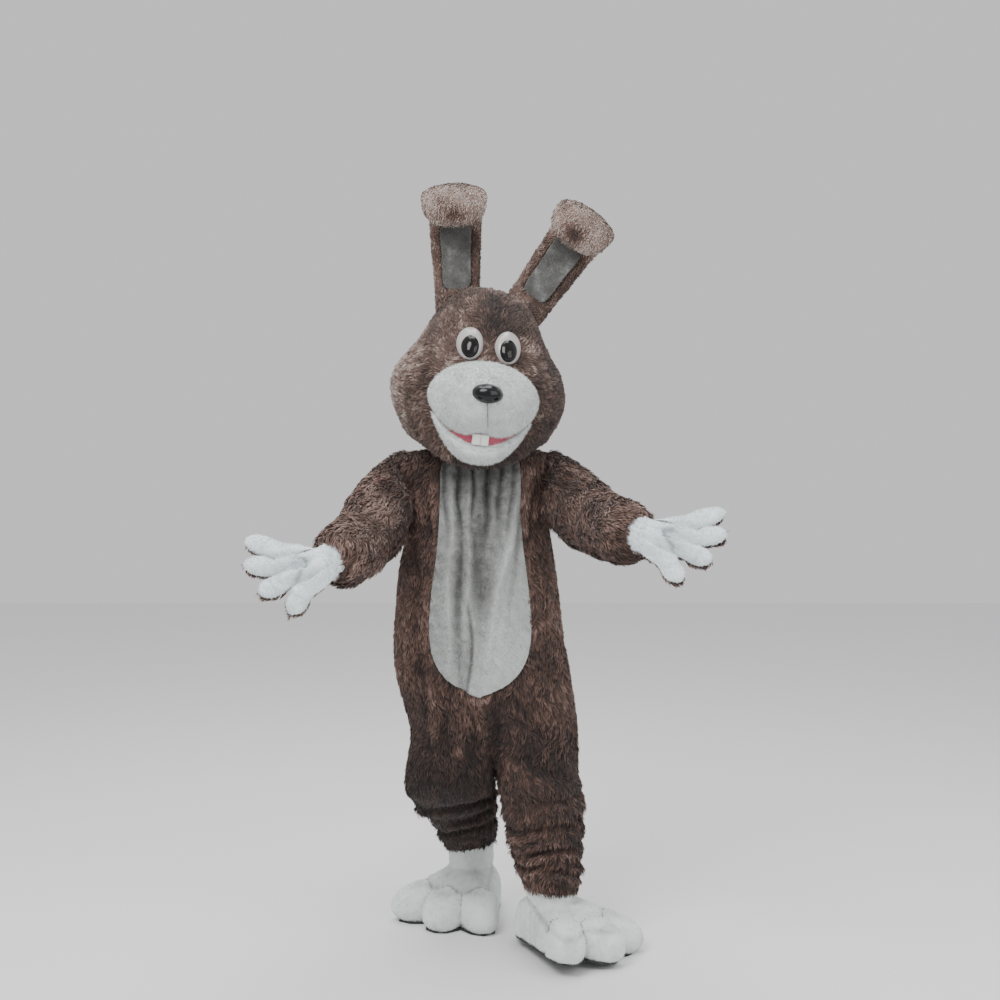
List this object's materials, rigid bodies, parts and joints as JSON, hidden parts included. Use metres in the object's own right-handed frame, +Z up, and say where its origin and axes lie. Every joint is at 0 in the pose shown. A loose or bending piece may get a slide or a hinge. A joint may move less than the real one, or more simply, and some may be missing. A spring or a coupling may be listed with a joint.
{
  "type": "rabbit mascot costume",
  "caption": "Full rabbit mascot costume standing as worn: padded head with long folded ears, furry jumpsuit with pale belly, gloves and toed boots, empty inside.",
  "frame": {"origin": "centre of the suit's neck opening at the shoulder line, where the wearer carries the costume", "axes": "+X towards the wearer's left, -Y towards the front the wearer faces, +Z up"},
  "size_m": [1.2744, 0.8742, 2.2209],
  "materials": {
    "suit_front_right": "long pile faux fur",
    "suit_back_right": "long pile faux fur",
    "suit_front_left": "long pile faux fur",
    "suit_back_left": "long pile faux fur",
    "suit_belly": "short plush",
    "head_front_right": "long pile faux fur",
    "head_back_right": "long pile faux fur",
    "head_front_left": "long pile faux fur",
    "head_back_left": "long pile faux fur",
    "muzzle": "short plush",
    "nose": "gloss",
    "eye_right": "gloss",
    "pupil_right": "gloss",
    "eye_left": "gloss",
    "pupil_left": "gloss",
    "mouth": "short plush",
    "chin": "short plush",
    "tooth_right": "matt",
    "tooth_left": "matt",
    "zip_chain": "matt",
    "zip_slider": "satin",
    "zip_pull": "satin",
    "tail": "long pile faux fur",
    "sleeve_right": "long pile faux fur",
    "ear_right": "long pile faux fur",
    "ear_inner_right": "short plush",
    "glove_palm_right": "short plush",
    "glove_back_right": "long pile faux fur",
    "boot_right": "short plush",
    "sole_right": "matt",
    "sleeve_left": "long pile faux fur",
    "ear_left": "long pile faux fur",
    "ear_inner_left": "short plush",
    "glove_palm_left": "short plush",
    "glove_back_left": "long pile faux fur",
    "boot_left": "short plush",
    "sole_left": "matt"
  },
  "bodies": {
    "costume": {"suit_front_right": "suit_front_right", "suit_back_right": "suit_back_right", "suit_front_left": "suit_front_left", "suit_back_left": "suit_back_left", "suit_belly": "suit_belly", "head_front_right": "head_front_right", "head_back_right": "head_back_right", "head_front_left": "head_front_left", "head_back_left": "head_back_left", "muzzle": "muzzle", "nose": "nose", "eye_right": "eye_right", "pupil_right": "pupil_right", "eye_left": "eye_left", "pupil_left": "pupil_left", "mouth": "mouth", "chin": "chin", "tooth_right": "tooth_right", "tooth_left": "tooth_left", "zip_chain": "zip_chain", "zip_slider": "zip_slider", "tail": "tail", "sleeve_right": "sleeve_right", "ear_right": "ear_right", "ear_inner_right": "ear_inner_right", "glove_palm_right": "glove_palm_right", "glove_back_right": "glove_back_right", "boot_right": "boot_right", "sole_right": "sole_right", "sleeve_left": "sleeve_left", "ear_left": "ear_left", "ear_inner_left": "ear_inner_left", "glove_palm_left": "glove_palm_left", "glove_back_left": "glove_back_left", "boot_left": "boot_left", "sole_left": "sole_left"},
    "pull_tab": {"zip_pull": "zip_pull"}
  },
  "joints": [
    {"name": "pull_tab_hinge", "type": "hinge", "parent": "costume", "child": "pull_tab", "pos_m": [0, 0.12424, -0.02639], "axis": [1, 0, 0], "range_deg": [0, 150]}
  ]
}
